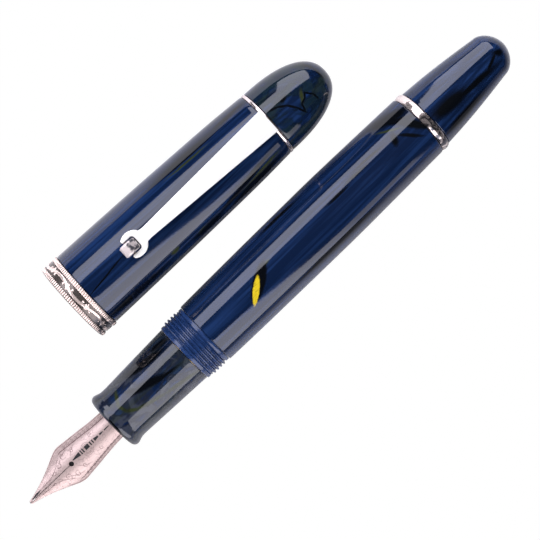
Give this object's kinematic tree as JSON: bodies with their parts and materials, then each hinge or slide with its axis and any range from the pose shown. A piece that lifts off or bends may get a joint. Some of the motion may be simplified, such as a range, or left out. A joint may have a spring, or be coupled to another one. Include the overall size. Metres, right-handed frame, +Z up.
{
  "type": "fountain pen",
  "caption": "Oversize fountain pen lying uncapped: open nib and feed, flared grip, threaded collar, tapered barrel with a ringed tail, and its domed cap with a roller clip beside it.",
  "frame": {"origin": "centre of the bounding box's base, on the table the pen and cap lie on", "axes": "+X along the pen from its nib to its tail, +Y from the pen towards the cap beside it, +Z up"},
  "size_m": [0.134, 0.0397, 0.0215],
  "materials": {
    "swirled_resin": "deep blue resin with black and olive swirls, polished",
    "plain_blue_resin": "plain blue resin, satin from the thread cutting",
    "bright_plating": "polished plating with a faint warm tint",
    "nib_steel": null,
    "brass": "turned brass",
    "black_plastic": "black moulded plastic",
    "clear_plastic": "clear moulded plastic",
    "seal_rubber": "soft black seal",
    "pale_plastic": "pale moulded plastic"
  },
  "bodies": {
    "grip": {"section": "swirled_resin", "section_thread_bush": "brass"},
    "nib_unit": {"nib": "nib_steel", "nib_tip_pellet": "bright_plating", "feed": "black_plastic", "nib_housing": "black_plastic"},
    "barrel": {"thread_collar": "plain_blue_resin", "barrel": "swirled_resin", "tail_ring": "bright_plating", "barrel_tail": "swirled_resin", "tail_screw": "brass"},
    "converter": {"converter_tube": "clear_plastic", "converter_sleeve": "bright_plating"},
    "knob": {"converter_knob": "black_plastic"},
    "piston": {"piston_seal": "seal_rubber", "piston_rod": "pale_plastic"},
    "cap": {"cap_shell": "swirled_resin", "cap_band": "bright_plating", "inner_cap": "black_plastic", "cap_stud": "brass", "clip_ring": "bright_plating", "cap_finial": "swirled_resin"},
    "clip": {"clip_arm": "bright_plating", "roller_pin": "bright_plating"},
    "roller": {"clip_roller": "bright_plating"}
  },
  "joints": [
    {"name": "barrel_pull", "type": "slide", "parent": "grip", "child": "barrel", "axis": [1, 0, 0], "range_m": [0, 0.07]},
    {"name": "nib_unit_draw", "type": "slide", "parent": "grip", "child": "nib_unit", "axis": [-1, 0, 0], "range_m": [0, 0.022]},
    {"name": "converter_pull", "type": "slide", "parent": "grip", "child": "converter", "axis": [1, 0, 0], "range_m": [0, 0.008]},
    {"name": "knob_turn", "type": "hinge", "parent": "converter", "child": "knob", "pos_m": [0.0035, -0.01234, 0.00752], "axis": [1, 0, 0], "range_deg": [0, 3600]},
    {"name": "piston_travel", "type": "slide", "parent": "converter", "child": "piston", "axis": [-1, 0, 0], "range_m": [0, 0.019]},
    {"name": "cap_swing", "type": "hinge", "parent": "grip", "child": "cap", "pos_m": [-0.05075, -0.00055, 0.00908], "axis": [0, 0, 1], "range_deg": [0, 181.52]},
    {"name": "clip_flex", "type": "hinge", "parent": "cap", "child": "clip", "pos_m": [0.02073, 0.00935, 0.01707], "axis": [0.0265, 0.9996, 0], "range_deg": [0, 6], "stiffness_Nm_per_rad": 1.5},
    {"name": "roller_spin", "type": "hinge", "parent": "clip", "child": "roller", "pos_m": [-0.01647, 0.01033, 0.01966], "axis": [0.0265, 0.9996, 0], "continuous": true}
  ],
  "couplings": [
    {"joint": "knob_turn", "follows": "piston_travel", "rad_per_m": 3306.9}
  ]
}
